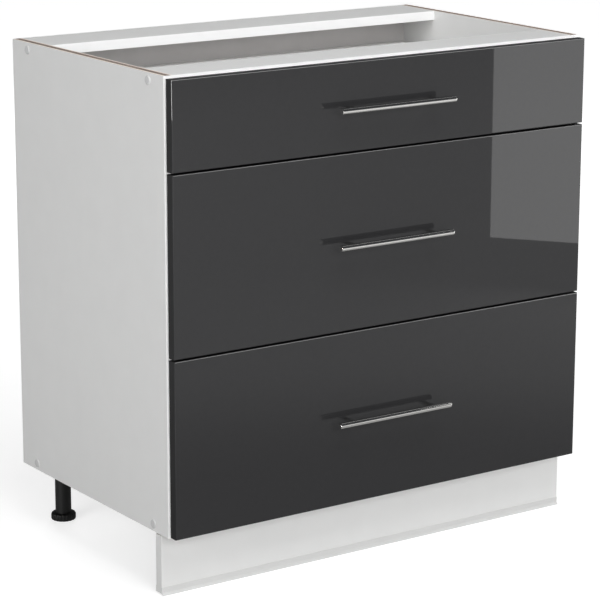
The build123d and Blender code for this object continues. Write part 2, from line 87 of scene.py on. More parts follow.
# A tree of Geometry Nodes with named inputs, and the outputs of its input node
def newTree(name, sizes):
    tree = bpy.data.node_groups.new(name, "GeometryNodeTree")
    tree.is_modifier = True
    tree.interface.new_socket("Geometry", in_out="INPUT", socket_type="NodeSocketGeometry")
    tree.interface.new_socket("Geometry", in_out="OUTPUT", socket_type="NodeSocketGeometry")
    for size, kind in sizes.items():
        tree.interface.new_socket(size, in_out="INPUT", socket_type=f"NodeSocket{kind}")
    return tree, addNode(tree, "NodeGroupInput").outputs


# Ends a tree: its form stands on every point of the start mesh, as real geometry in its finish
def standOnPoints(tree, size, form, turn):
    copies = addNode(tree, "GeometryNodeInstanceOnPoints", {
        "Points": size["Geometry"], "Instance": form.outputs[0], "Rotation": turn,
    })
    copies = addNode(tree, "GeometryNodeRealizeInstances", {0: copies.outputs[0]})
    copies = addNode(tree, "GeometryNodeSetMaterial", {
        "Geometry": copies.outputs[0], "Material": size["Finish"],
    })
    addNode(tree, "NodeGroupOutput", {"Geometry": copies.outputs[0]})


# Runs a tree on a start mesh with its inputs set, and gives a plain closed mesh with its faces outwards
def growMesh(tree, start, values, sharpAngle):
    item = bpy.data.objects.new(tree.name, start)
    bpy.context.scene.collection.objects.link(item)
    modifier = item.modifiers.new("nodes", "NODES")
    modifier.node_group = tree
    for socket in tree.interface.items_tree:
        if socket.in_out == "INPUT" and socket.name in values:
            modifier[socket.identifier] = values[socket.name]
    graph = bpy.context.evaluated_depsgraph_get()
    mesh = bpy.data.meshes.new_from_object(item.evaluated_get(graph), depsgraph=graph)
    item.modifiers.remove(modifier)
    bpy.data.objects.remove(item)
    shape = bmesh.new()
    shape.from_mesh(mesh)
    bmesh.ops.remove_doubles(shape, verts=shape.verts, dist=weld)
    bmesh.ops.recalc_face_normals(shape, faces=shape.faces)
    shape.to_mesh(mesh)
    shape.free()
    mesh.polygons.foreach_set("use_smooth", [True] * len(mesh.polygons))
    mesh.set_sharp_from_angle(angle=math.radians(sharpAngle))
    return mesh


# Joins plain meshes into one object that rides on a body and stands for some of its nodes
def placePiece(name, meshes, body, replaced):
    item = bpy.data.objects.new(name, meshes[0])
    bpy.context.scene.collection.objects.link(item)
    if len(meshes) > 1:
        shape = bmesh.new()
        for mesh in meshes:
            shape.from_mesh(mesh)
        shape.to_mesh(item.data)
        shape.free()
    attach(item, body)
    if replaced:
        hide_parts(*replaced)


# Camera, as the photograph was taken: high, to the left of the cabinet, with a long lens
cameraPlace = {
    "position": (-2.3035, -3.3423, 1.3910),
    "heading": 34.437,  # degrees from +Y towards +X
    "tilt": -13.97,
    "roll": 0.112,
    "lens": 150.27,  # millimetres, as is the sensor
    "sensor": 36.0,
    "sees": 60.0,  # metres
}


def makeCamera(place):
    data = bpy.data.cameras.new("photoCamera")
    data.lens = place["lens"]
    data.sensor_width = place["sensor"]
    data.clip_end = place["sees"]
    camera = bpy.data.objects.new("photoCamera", data)
    bpy.context.scene.collection.objects.link(camera)
    camera.location = place["position"]
    turn = Matrix.Rotation(math.radians(-place["heading"]), 3, "Z")
    turn = turn @ Matrix.Rotation(math.radians(90 + place["tilt"]), 3, "X")
    turn = turn @ Matrix.Rotation(math.radians(place["roll"]), 3, "Z")
    camera.rotation_euler = turn.to_euler()
    bpy.context.scene.camera = camera


makeCamera(cameraPlace)
print("camera placed")

# Studio: a pale floor that turns up a little all round, in a dim room that the camera sees as white
studio = {
    "innerRadius": 2.25,
    "floorRadius": 9.0,
    "curveRadius": 0.8,
    "wallTop": 1.0,
    "curveSteps": 8,
    "segments": 96,
    "floorWhite": "#C2C2C2",
    "liftNear": 0.66,  # what the camera sees added to the floor, so that it reads white round the shadow
    "liftFar": 0.95,
    "liftFrom": 1.0,  # metres from the middle of the floor, where the near value ends
    "liftTo": 4.5,  # and where the far one is reached
    "mirrorNear": 0.16,  # what gloss and glass see added, over the same distance
    "mirrorFar": 0.5,
    "dimShare": 0.65,  # how much darker gloss and glass see the paint close by: painted shade
    "dimFrom": 0.7,  # metres from the middle, where that starts to fade
    "dimTo": 1.4,
    "worldGrey": "#3A3B3D",
}


def makeStudio(spec):
    profile = [(0.0, 0.0), (spec["innerRadius"], 0.0), (spec["floorRadius"], 0.0)]
    for step in range(1, spec["curveSteps"] + 1):
        angle = math.pi / 2 * step / spec["curveSteps"]
        profile.append((
            spec["floorRadius"] + spec["curveRadius"] * math.sin(angle),
            spec["curveRadius"] * (1 - math.cos(angle)),
        ))
    profile.append((spec["floorRadius"] + spec["curveRadius"], spec["wallTop"]))
    floor = latheObject("studioFloor", profile, spec["segments"])
    floor.data.materials.append(studioPaint(spec))
    world = bpy.data.worlds.new("studioWorld")
    world.use_nodes = True
    tree = world.node_tree
    tree.nodes.clear()
    path = addNode(tree, "ShaderNodeLightPath")
    room = addNode(tree, "ShaderNodeBackground", {"Color": colour(spec["worldGrey"])})
    beyond = addNode(tree, "ShaderNodeBackground", {"Color": colour("#FFFFFF")})
    seen = addNode(tree, "ShaderNodeMixShader", {
        0: path.outputs["Is Camera Ray"], 1: room.outputs[0], 2: beyond.outputs[0],
    })
    addNode(tree, "ShaderNodeOutputWorld", {"Surface": seen.outputs[0]})
    bpy.context.scene.world = world


# Matt studio paint. The camera sees it lifted to white, more so far out where the lamps fade. Gloss and
# glass see some of that, and a painted shade on the floor round the cabinet
def studioPaint(spec):
    material, tree = newMaterial("studioPaint")
    place = addNode(tree, "ShaderNodeTexCoord")
    reach = addNode(tree, "ShaderNodeVectorMath", {0: place.outputs["Object"]}, operation="LENGTH")
    path = addNode(tree, "ShaderNodeLightPath")
    mirrored = addNode(tree, "ShaderNodeMath", {
        0: path.outputs["Is Glossy Ray"], 1: path.outputs["Is Transmission Ray"],
    }, operation="MAXIMUM")
    # Painted shade: gloss and glass see the floor darker round the cabinet
    close = addNode(tree, "ShaderNodeMapRange", {
        "Value": reach.outputs["Value"], "From Min": spec["dimFrom"], "From Max": spec["dimTo"],
        "To Min": spec["dimShare"], "To Max": 0.0,
    }, interpolation_type="SMOOTHSTEP")
    paintedShade = addNode(tree, "ShaderNodeMath", {
        0: mirrored.outputs[0], 1: close.outputs[0],
    }, operation="MULTIPLY")
    tone = addNode(tree, "ShaderNodeMix", {
        0: paintedShade.outputs[0], 6: colour(spec["floorWhite"]), 7: colour("#000000"),
    }, data_type="RGBA")
    paint = addNode(tree, "ShaderNodeBsdfDiffuse", {"Color": tone.outputs[2]})
    parts = []
    for ray, near, far in (
        (path.outputs["Is Camera Ray"], spec["liftNear"], spec["liftFar"]),
        (mirrored.outputs[0], spec["mirrorNear"], spec["mirrorFar"]),
    ):
        lift = addNode(tree, "ShaderNodeMapRange", {
            "Value": reach.outputs["Value"], "From Min": spec["liftFrom"], "From Max": spec["liftTo"],
            "To Min": near, "To Max": far,
        })
        parts.append(addNode(tree, "ShaderNodeMath", {0: ray, 1: lift.outputs[0]}, operation="MULTIPLY"))
    strength = addNode(tree, "ShaderNodeMath", {0: parts[0].outputs[0], 1: parts[1].outputs[0]})
    glow = addNode(tree, "ShaderNodeEmission", {
        "Color": colour("#FFFFFF"), "Strength": strength.outputs[0],
    })
    both = addNode(tree, "ShaderNodeAddShader", {0: paint.outputs[0], 1: glow.outputs[0]})
    addNode(tree, "ShaderNodeOutputMaterial", {"Surface": both.outputs[0]})
    return material


# A body of revolution about Z through (radius, height) points, closed where the radius is zero
def latheObject(name, profile, segments):
    shape = bmesh.new()
    rings = []
    for radius, height in profile:
        if radius == 0:
            rings.append([shape.verts.new((0, 0, height))])
            continue
        ring = []
        for step in range(segments):
            angle = 2 * math.pi * step / segments
            ring.append(shape.verts.new((radius * math.cos(angle), radius * math.sin(angle), height)))
        rings.append(ring)
    for low, high in zip(rings, rings[1:]):
        for step in range(segments):
            after = (step + 1) % segments
            corners = [low[step % len(low)], low[after % len(low)]]
            corners += [high[after % len(high)], high[step % len(high)]]
            shape.faces.new(list(dict.fromkeys(corners)))
    mesh = bpy.data.meshes.new(name)
    shape.to_mesh(mesh)
    shape.free()
    mesh.polygons.foreach_set("use_smooth", [True] * len(mesh.polygons))
    item = bpy.data.objects.new(name, mesh)
    bpy.context.scene.collection.objects.link(item)
    return item


makeStudio(studio)

# Lamps: where each stands, what it looks at, its size in metres and its power. Gloss mirrors only the last
# four, and the three strips are there for gloss alone
softboxes = {
    "frontSoftbox": {
        "at": (-1.1, -4.4, 1.7), "aim": (0.1, -0.3, 0.45), "size": (3.0, 2.4), "power": 114, "gloss": False,
    },
    "leftSoftbox": {
        "at": (-3.8, -0.9, 2.0), "aim": (0, 0, 0.5), "size": (2.4, 1.8), "power": 69, "gloss": False,
    },
    "topSoftbox": {
        "at": (0.0, -1.5, 3.6), "aim": (0, -0.3, 0.8), "size": (2.6, 2.2), "power": 66, "gloss": False,
    },
    "rearSoftbox": {
        "at": (1.9, 3.7, 2.0), "aim": (0, 0.2, 0.5), "size": (2.4, 1.6), "power": 58, "gloss": False,
    },
    "edgeStrip": {  # a thin line along the top edges of the fronts
        "at": (2.2, 2.04, 3.2), "aim": (0, -0.2, 0.7), "size": (1.2, 0.5), "power": 1.2,
        "gloss": True, "glossOnly": True,
    },
    "glintStrip": {  # a glint down their left edges
        "at": (-2.4, -0.65, 0.47), "aim": (-0.4, -0.23, 0.6), "size": (0.7, 0.14), "power": 16,
        "gloss": True, "glossOnly": True,
    },
    "barStrip": {  # a bright line along the handle bars
        "at": (1.72, -0.4, 3.2), "aim": (0, -0.25, 0.6), "size": (0.3, 1.1), "power": 0.45,
        "gloss": True, "glossOnly": True,
    },
    "windowPanel": {  # a broad pale reflection on the right of the fronts
        "at": (1.613, -1.226, 0.764), "aim": (0.829, -0.605, 0.764), "size": (0.96, 1.30),
        "power": 9.0, "gloss": True,
    },
}


def makeSoftbox(name, spec):
    lamp = bpy.data.lights.new(name, "AREA")
    lamp.shape = "RECTANGLE"
    lamp.size, lamp.size_y = spec["size"]
    lamp.energy = spec["power"]
    item = bpy.data.objects.new(name, lamp)
    bpy.context.scene.collection.objects.link(item)
    item.location = spec["at"]
    look = Vector(spec["aim"]) - Vector(spec["at"])
    item.rotation_euler = look.to_track_quat("-Z", "Y").to_euler()
    item.visible_camera = False
    item.visible_glossy = spec["gloss"]
    item.visible_diffuse = not spec.get("glossOnly", False)


for name, spec in softboxes.items():
    makeSoftbox(name, spec)
print("studio lit")

# Melamine faced chipboard: printed paper pressed on wood chips. The paper gives a soft even white with a
# faint pearl; where the board is cut, the chips show brown between two pale fine layers.
melamine = {
    "paper": "#E7E7E6",
    "paperShade": "#E2E2E1",
    "paperLine": "#FBF1E8",
    "fineLayer": "#D6C8BD",
    "coreDark": "#54473F",
    "coreMiddle": "#7E7068",
    "coreLight": "#A6988F",
    "middleAt": 0.45,  # where the middle tone lies between the other two
    "paperThickness": 1.8,  # millimetres, as all down to cutRelief; drawn thick so that it shows
    "fineThickness": 3.2,
    "coreFrom": 4.8,
    "chipLength": 4.0,
    "chipThickness": 0.8,
    "pearl": 0.9,
    "cloud": 45.0,
    "paperRelief": 0.01,
    "cutRelief": 0.2,
    "paperRough": (0.38, 0.5),
    "cutRough": 0.85,
    "ior": 1.5,
    "specular": 0.4,
}


# One board: thinAxis runs through its thickness, and papered says which edges carry paper or a band too
def melamineBoard(name, node, thinAxis, papered=()):
    spec = melamine
    low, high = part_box(node)
    axis = "XYZ".index(thinAxis)
    material, tree = newMaterial(name)
    place = addNode(tree, "ShaderNodeTexCoord")
    along = addNode(tree, "ShaderNodeSeparateXYZ", {0: place.outputs["Object"]})
    facing = addNode(tree, "ShaderNodeSeparateXYZ", {0: place.outputs["Normal"]})

    # How far inside the nearer paper face a point lies
    fromMiddle = addNode(tree, "ShaderNodeMath", {
        0: along.outputs[axis], 1: (low[axis] + high[axis]) / 2,
    }, operation="SUBTRACT")
    fromMiddle = addNode(tree, "ShaderNodeMath", {0: fromMiddle.outputs[0]}, operation="ABSOLUTE")
    depth = addNode(tree, "ShaderNodeMath", {
        0: (high[axis] - low[axis]) / 2, 1: fromMiddle.outputs[0],
    }, operation="SUBTRACT")

    # Chips lie flat in the board, so they look long and thin on a cut edge
    stretch = [1 / (spec["chipLength"] * mm)] * 3
    stretch[axis] = 1 / (spec["chipThickness"] * mm)
    chips = addNode(tree, "ShaderNodeMapping", {0: place.outputs["Object"], "Scale": stretch})
    flakes = addNode(tree, "ShaderNodeTexVoronoi", {"Vector": chips.outputs[0], "Scale": 1.0})
    flakeTone = addNode(tree, "ShaderNodeSeparateColor", {0: flakes.outputs["Color"]})
    core = addNode(tree, "ShaderNodeValToRGB", {0: flakeTone.outputs[0]})
    core.color_ramp.elements[0].color = colour(spec["coreDark"])
    core.color_ramp.elements[1].color = colour(spec["coreLight"])
    core.color_ramp.elements.new(spec["middleAt"]).color = colour(spec["coreMiddle"])
    inLayer = addNode(tree, "ShaderNodeMapRange", {
        "Value": depth.outputs[0], "From Min": spec["fineThickness"] * mm,
        "From Max": spec["coreFrom"] * mm,
    })
    fine = addNode(tree, "ShaderNodeMix", {
        0: inLayer.outputs[0], 6: colour(spec["fineLayer"]), 7: core.outputs[0],
    }, data_type="RGBA")
    onPaper = addNode(tree, "ShaderNodeMath", {
        0: depth.outputs[0], 1: spec["paperThickness"] * mm,
    }, operation="LESS_THAN")
    cut = addNode(tree, "ShaderNodeMix", {
        0: onPaper.outputs[0], 6: fine.outputs[2], 7: colour(spec["paperLine"]),
    }, data_type="RGBA")

    # Paper: a very faint cloudiness
    clouds = addNode(tree, "ShaderNodeTexNoise", {
        "Vector": place.outputs["Object"], "Scale": 1 / (spec["cloud"] * mm), "Detail": 3.0,
    })
    paper = addNode(tree, "ShaderNodeMix", {
        0: clouds.outputs[0], 6: colour(spec["paper"]), 7: colour(spec["paperShade"]),
    }, data_type="RGBA")

    # Cut faces are those that look along the board, less those that are papered too
    turned = addNode(tree, "ShaderNodeMath", {0: facing.outputs[axis]}, operation="ABSOLUTE")
    isCut = addNode(tree, "ShaderNodeMath", {0: turned.outputs[0], 1: squareOn}, operation="LESS_THAN")
    for direction, sign in papered:
        way = addNode(tree, "ShaderNodeMath", {
            0: facing.outputs["XYZ".index(direction)], 1: sign,
        }, operation="MULTIPLY")
        isBare = addNode(tree, "ShaderNodeMath", {0: way.outputs[0], 1: squareOn}, operation="LESS_THAN")
        isCut = addNode(tree, "ShaderNodeMath", {
            0: isCut.outputs[0], 1: isBare.outputs[0],
        }, operation="MULTIPLY")
    tone = addNode(tree, "ShaderNodeMix", {
        0: isCut.outputs[0], 6: paper.outputs[2], 7: cut.outputs[2],
    }, data_type="RGBA")

    # The paper's pearl and the chips' own heights both roughen and raise the face
    pearl = addNode(tree, "ShaderNodeTexNoise", {
        "Vector": place.outputs["Object"], "Scale": 1 / (spec["pearl"] * mm), "Detail": 2.0,
    })
    grain = addNode(tree, "ShaderNodeMix", {
        0: isCut.outputs[0], 2: pearl.outputs[0], 3: flakeTone.outputs[1],
    })
    height = addNode(tree, "ShaderNodeMapRange", {
        "Value": isCut.outputs[0], "To Min": spec["paperRelief"] * mm, "To Max": spec["cutRelief"] * mm,
    })
    bump = addNode(tree, "ShaderNodeBump", {
        "Height": grain.outputs[0], "Distance": height.outputs[0], "Strength": 0.6,
    })
    roughness = addNode(tree, "ShaderNodeMapRange", {
        "Value": grain.outputs[0], "To Min": spec["paperRough"][0], "To Max": spec["paperRough"][1],
    })
    roughness = addNode(tree, "ShaderNodeMix", {
        0: isCut.outputs[0], 2: roughness.outputs[0], 3: spec["cutRough"],
    })
    shader = addNode(tree, "ShaderNodeBsdfPrincipled", {
        "Base Color": tone.outputs[2], "Roughness": roughness.outputs[0], "Normal": bump.outputs[0],
        "IOR": spec["ior"], "Specular IOR Level": spec["specular"],
    })
    addNode(tree, "ShaderNodeOutputMaterial", {"Surface": shader.outputs[0]})
    return material


for side in sides:
    dress(melamineBoard(f"melamineSide_{side}", f"side_panel_{side}", "X"), f"side_panel_{side}")
dress(melamineBoard("melamineBottom", "bottom_panel", "Z"), "bottom_panel")
dress(melamineBoard("melamineFrontRail", "front_rail", "Z"), "front_rail")
dress(melamineBoard("melamineRearRail", "rear_rail", "Z"), "rear_rail")
dress(melamineBoard("melaminePlinth", "plinth_board", "Y", [("X", 1), ("X", -1), ("Z", 1)]), "plinth_board")
for level in levels:
    base, back = f"{level}_drawer_base", f"{level}_drawer_back"
    dress(melamineBoard(f"melamineBase_{level}", base, "Z"), base)
    dress(melamineBoard(f"melamineBack_{level}", back, "Y", [("Z", 1)]), back)
print("boards faced")

# Hardboard back: pressed wood fibre, painted pale grey inside. Fibre gives it a soft, slightly blotchy face
hardboard = {
    "paint": "#CDCAC9",
    "paintShade": "#C2BFBE",
    "fibre": 1.4,  # millimetres, as are the next two
    "blotch": 30.0,
    "relief": 0.05,
    "rough": (0.5, 0.65),
    "ior": 1.5,
}


def hardboardBack(spec):
    material, tree = newMaterial("paintedHardboard")
    place = addNode(tree, "ShaderNodeTexCoord")
    blotches = addNode(tree, "ShaderNodeTexNoise", {
        "Vector": place.outputs["Object"], "Scale": 1 / (spec["blotch"] * mm), "Detail": 4.0,
    })
    tone = addNode(tree, "ShaderNodeMix", {
        0: blotches.outputs[0], 6: colour(spec["paint"]), 7: colour(spec["paintShade"]),
    }, data_type="RGBA")
    fibre = addNode(tree, "ShaderNodeTexNoise", {
        "Vector": place.outputs["Object"], "Scale": 1 / (spec["fibre"] * mm), "Detail": 3.0,
        "Distortion": 1.2,
    })
    bump = addNode(tree, "ShaderNodeBump", {
        "Height": fibre.outputs[0], "Distance": spec["relief"] * mm, "Strength": 0.5,
    })
    roughness = addNode(tree, "ShaderNodeMapRange", {
        "Value": fibre.outputs[0], "To Min": spec["rough"][0], "To Max": spec["rough"][1],
    })
    shader = addNode(tree, "ShaderNodeBsdfPrincipled", {
        "Base Color": tone.outputs[2], "Roughness": roughness.outputs[0], "Normal": bump.outputs[0],
        "IOR": spec["ior"],
    })
    addNode(tree, "ShaderNodeOutputMaterial", {"Surface": shader.outputs[0]})
    return material


dress(hardboardBack(hardboard), "back_panel")

feet = [f"foot_{end}_{side}" for end in ("front", "rear") for side in sides]
rollers = []
for level in levels:
    rollers += [f"{level}_{kind}_roller_{side}" for kind in ("runner", "drawer") for side in sides]

# Moulded and extruded plastics: what each is made of decides its colour, gloss and grain. Grain and relief
# are in millimetres
plastics = {
    # ABS edge band, extruded: bright white, a little glossy, with fine drawn lines
    "absEdgeBand": {
        "nodes": ["edge_bands"], "base": "#FBFBFB", "shade": "#F8F8F8", "rough": (0.3, 0.38),
        "grain": 0.8, "relief": 0.004, "ior": 1.53,
    },
    # Polypropylene caps, moulded: slightly waxy white
    "polypropyleneCap": {
        "nodes": ["cover_caps"], "base": "#D4D4D4", "shade": "#CECECE", "rough": (0.14, 0.2),
        "grain": 1.0, "relief": 0.006, "ior": 1.49,
    },
    # Leg plastic, moulded ABS with a spark eroded grain: nearly black, half matt
    "blackAbs": {
        "nodes": ["leg_sockets", "leg_tubes", *feet], "base": "#080808", "shade": "#050505",
        "rough": (0.42, 0.55), "grain": 0.6, "relief": 0.02, "ior": 1.53,
    },
    # Plinth clips, moulded nylon: charcoal
    "charcoalNylon": {
        "nodes": ["plinth_clips"], "base": "#2B2B2C", "shade": "#232324", "rough": (0.4, 0.5),
        "grain": 0.8, "relief": 0.015, "ior": 1.53,
    },
    # Plinth seal, extruded soft PVC: pale and slightly translucent looking
    "softPvcSeal": {
        "nodes": ["plinth_seal"], "base": "#DBDBDA", "shade": "#D5D5D4", "rough": (0.28, 0.36),
        "grain": 1.4, "relief": 0.006, "ior": 1.53,
    },
    # Runner rollers, moulded acetal: dense milky white that takes a low polish from running
    "acetalRoller": {
        "nodes": rollers, "base": "#E9E7E0", "shade": "#E0DDD4", "rough": (0.25, 0.36),
        "grain": 1.2, "relief": 0.005, "ior": 1.48,
    },
    # Front buffers, cast polyurethane: clear, soft and shiny
    "clearPolyurethane": {
        "nodes": [], "base": "#F4F6F6", "shade": "#EEF1F1", "rough": (0.06, 0.12),
        "grain": 1.5, "relief": 0.002, "ior": 1.5, "clear": 0.8,
    },
}
flowLength = 18  # the flow marks of a moulding, in grains


def plastic(name, spec):
    material, tree = newMaterial(name)
    place = addNode(tree, "ShaderNodeTexCoord")
    grain = addNode(tree, "ShaderNodeTexNoise", {
        "Vector": place.outputs["Object"], "Scale": 1 / (spec["grain"] * mm), "Detail": 3.0,
    })
    flow = addNode(tree, "ShaderNodeTexNoise", {
        "Vector": place.outputs["Object"], "Scale": 1 / (flowLength * spec["grain"] * mm), "Detail": 2.0,
    })
    tone = addNode(tree, "ShaderNodeMix", {
        0: flow.outputs[0], 6: colour(spec["base"]), 7: colour(spec["shade"]),
    }, data_type="RGBA")
    roughness = addNode(tree, "ShaderNodeMapRange", {
        "Value": grain.outputs[0], "To Min": spec["rough"][0], "To Max": spec["rough"][1],
    })
    bump = addNode(tree, "ShaderNodeBump", {
        "Height": grain.outputs[0], "Distance": spec["relief"] * mm, "Strength": 0.8,
    })
    shader = addNode(tree, "ShaderNodeBsdfPrincipled", {
        "Base Color": tone.outputs[2], "Roughness": roughness.outputs[0], "Normal": bump.outputs[0],
        "IOR": spec["ior"], "Transmission Weight": spec.get("clear", 0.0),
    })
    addNode(tree, "ShaderNodeOutputMaterial", {"Surface": shader.outputs[0]})
    return material


plasticMade = {}
for name, spec in plastics.items():
    plasticMade[name] = plastic(name, spec)
    dress(plasticMade[name], *spec["nodes"])
print("plastics coloured")

# Drawer front: high gloss foil pressed round a fibreboard. Its face is a dark mirror with the faintest
# orange peel; its back carries plain white paper.
glossFoil = {
    "base": "#2F2F30",
    "shade": "#2C2C2D",
    "rear": "#DFDFDE",
    "peel": 7.0,  # millimetres, as is the next
    "peelHeight": 0.0006,
    "gloss": (0.008, 0.02),
    "paintedHighlight": "#7C7C7C",  # painted highlight: the rounded top edge is painted pale, in place of the lit line it would catch
    "paintedHighlightFrom": 0.3,  # from here to the next: shares of a normal that points straight up, where the painted highlight lies
    "paintedHighlightTo": 0.8,
    "sideFrom": 0.97,  # share of a normal that points straight sideways, where a narrow side begins
    "narrowWithPaintedShade": "#161617",  # the narrow sides, and the narrow face on top, are satin, and painted darker than the face as painted shade
    "narrowRough": 0.55,
    "rearRough": 0.42,
    "ior": 1.5,
    "specular": 0.35,
}


def glossFront(spec):
    material, tree = newMaterial("glossFoil")
    place = addNode(tree, "ShaderNodeTexCoord")
    facing = addNode(tree, "ShaderNodeSeparateXYZ", {0: place.outputs["Normal"]})
    isRear = addNode(tree, "ShaderNodeMath", {0: facing.outputs[1], 1: squareOn}, operation="GREATER_THAN")
    peel = addNode(tree, "ShaderNodeTexNoise", {
        "Vector": place.outputs["Object"], "Scale": 1 / (spec["peel"] * mm), "Detail": 1.5,
    })
    foil = addNode(tree, "ShaderNodeMix", {
        0: peel.outputs[0], 6: colour(spec["base"]), 7: colour(spec["shade"]),
    }, data_type="RGBA")
    # Painted highlight: where the normal points partly up, on the rounded top edge, the foil is painted pale
    onPaintedHighlight = addNode(tree, "ShaderNodeMath", {
        0: facing.outputs[2], 1: spec["paintedHighlightFrom"],
    }, operation="GREATER_THAN")
    isTop = addNode(tree, "ShaderNodeMath", {
        0: facing.outputs[2], 1: spec["paintedHighlightTo"],
    }, operation="GREATER_THAN")
    sideways = addNode(tree, "ShaderNodeMath", {0: facing.outputs[0]}, operation="ABSOLUTE")
    isSide = addNode(tree, "ShaderNodeMath", {
        0: sideways.outputs[0], 1: spec["sideFrom"],
    }, operation="GREATER_THAN")
    isNarrow = addNode(tree, "ShaderNodeMath", {
        0: isTop.outputs[0], 1: isSide.outputs[0],
    }, operation="MAXIMUM")
    foil = addNode(tree, "ShaderNodeMix", {
        0: onPaintedHighlight.outputs[0], 6: foil.outputs[2], 7: colour(spec["paintedHighlight"]),
    }, data_type="RGBA")
    # Painted shade: the narrow sides and the narrow top face take a darker colour as well as their satin
    foil = addNode(tree, "ShaderNodeMix", {
        0: isNarrow.outputs[0], 6: foil.outputs[2], 7: colour(spec["narrowWithPaintedShade"]),
    }, data_type="RGBA")
    tone = addNode(tree, "ShaderNodeMix", {
        0: isRear.outputs[0], 6: foil.outputs[2], 7: colour(spec["rear"]),
    }, data_type="RGBA")
    gloss = addNode(tree, "ShaderNodeMapRange", {
        "Value": peel.outputs[0], "To Min": spec["gloss"][0], "To Max": spec["gloss"][1],
    })
    gloss = addNode(tree, "ShaderNodeMix", {
        0: isNarrow.outputs[0], 2: gloss.outputs[0], 3: spec["narrowRough"],
    })
    roughness = addNode(tree, "ShaderNodeMix", {
        0: isRear.outputs[0], 2: gloss.outputs[0], 3: spec["rearRough"],
    })
    bump = addNode(tree, "ShaderNodeBump", {
        "Height": peel.outputs[0], "Distance": spec["peelHeight"] * mm, "Strength": 0.5,
    })
    shader = addNode(tree, "ShaderNodeBsdfPrincipled", {
        "Base Color": tone.outputs[2], "Roughness": roughness.outputs[0], "Normal": bump.outputs[0],
        "IOR": spec["ior"], "Specular IOR Level": spec["specular"],
    })
    addNode(tree, "ShaderNodeOutputMaterial", {"Surface": shader.outputs[0]})
    return material


dress(glossFront(glossFoil), *[f"{level}_drawer_front" for level in levels])

# Metals. A brushed bar keeps fine lines along its length; zinc plate is bluish and finely crystalline;
# powder coat is sprayed and baked, so it has a low orange peel. Stretch is a pattern's size along X, Y and
# Z; it, peel and relief are in millimetres.
metals = {
    "brushedSteel": {
        "base": "#F3F2EF", "shade": "#E8E7E4", "rough": (0.05, 0.11), "stretch": (40.0, 0.35, 0.35),
        "relief": 0.0025,
    },
    "zincPlate": {
        "base": "#C9CCD0", "shade": "#B4B8BE", "rough": (0.26, 0.42), "stretch": (1.2, 1.2, 1.2),
        "relief": 0.003,
    },
}


def bareMetal(name, spec):
    material, tree = newMaterial(name)
    place = addNode(tree, "ShaderNodeTexCoord")
    lines = addNode(tree, "ShaderNodeMapping", {
        0: place.outputs["Object"], "Scale": [1 / (size * mm) for size in spec["stretch"]],
    })
    brush = addNode(tree, "ShaderNodeTexNoise", {"Vector": lines.outputs[0], "Scale": 1.0, "Detail": 4.0})
    tone = addNode(tree, "ShaderNodeMix", {
        0: brush.outputs[0], 6: colour(spec["base"]), 7: colour(spec["shade"]),
    }, data_type="RGBA")
    roughness = addNode(tree, "ShaderNodeMapRange", {
        "Value": brush.outputs[0], "To Min": spec["rough"][0], "To Max": spec["rough"][1],
    })
    bump = addNode(tree, "ShaderNodeBump", {
        "Height": brush.outputs[0], "Distance": spec["relief"] * mm, "Strength": 0.5,
    })
    shader = addNode(tree, "ShaderNodeBsdfPrincipled", {
        "Base Color": tone.outputs[2], "Roughness": roughness.outputs[0], "Normal": bump.outputs[0],
        "Metallic": 1.0,
    })
    addNode(tree, "ShaderNodeOutputMaterial", {"Surface": shader.outputs[0]})
    return material


powderCoat = {
    "base": "#DCDCDB", "shade": "#D5D5D4", "rough": (0.3, 0.42), "peel": 1.6, "relief": 0.012, "ior": 1.52,
}


def powderCoatedSteel(spec):
    material, tree = newMaterial("powderCoatedSteel")
    place = addNode(tree, "ShaderNodeTexCoord")
    peel = addNode(tree, "ShaderNodeTexNoise", {
        "Vector": place.outputs["Object"], "Scale": 1 / (spec["peel"] * mm), "Detail": 1.0,
    })
    tone = addNode(tree, "ShaderNodeMix", {
        0: peel.outputs[0], 6: colour(spec["base"]), 7: colour(spec["shade"]),
    }, data_type="RGBA")
    roughness = addNode(tree, "ShaderNodeMapRange", {
        "Value": peel.outputs[0], "To Min": spec["rough"][0], "To Max": spec["rough"][1],
    })
    bump = addNode(tree, "ShaderNodeBump", {
        "Height": peel.outputs[0], "Distance": spec["relief"] * mm, "Strength": 0.6,
    })
    shader = addNode(tree, "ShaderNodeBsdfPrincipled", {
        "Base Color": tone.outputs[2], "Roughness": roughness.outputs[0], "Normal": bump.outputs[0],
        "IOR": spec["ior"],
    })
    addNode(tree, "ShaderNodeOutputMaterial", {"Surface": shader.outputs[0]})
    return material


metalMade = {name: bareMetal(name, spec) for name, spec in metals.items()}
dress(metalMade["brushedSteel"], *[f"{level}_handle" for level in levels])
dress(metalMade["zincPlate"], "carcass_screws", "fitting_screws")
coated = [f"{level}_gallery_rails" for level in deepLevels]
for level in levels:
    dress(metalMade["zincPlate"], f"{level}_drawer_screws")
    coated += [f"{level}_{kind}_{side}" for kind in ("runner", "drawer_side") for side in sides]
dress(powderCoatedSteel(powderCoat), *coated)
print("metals finished")


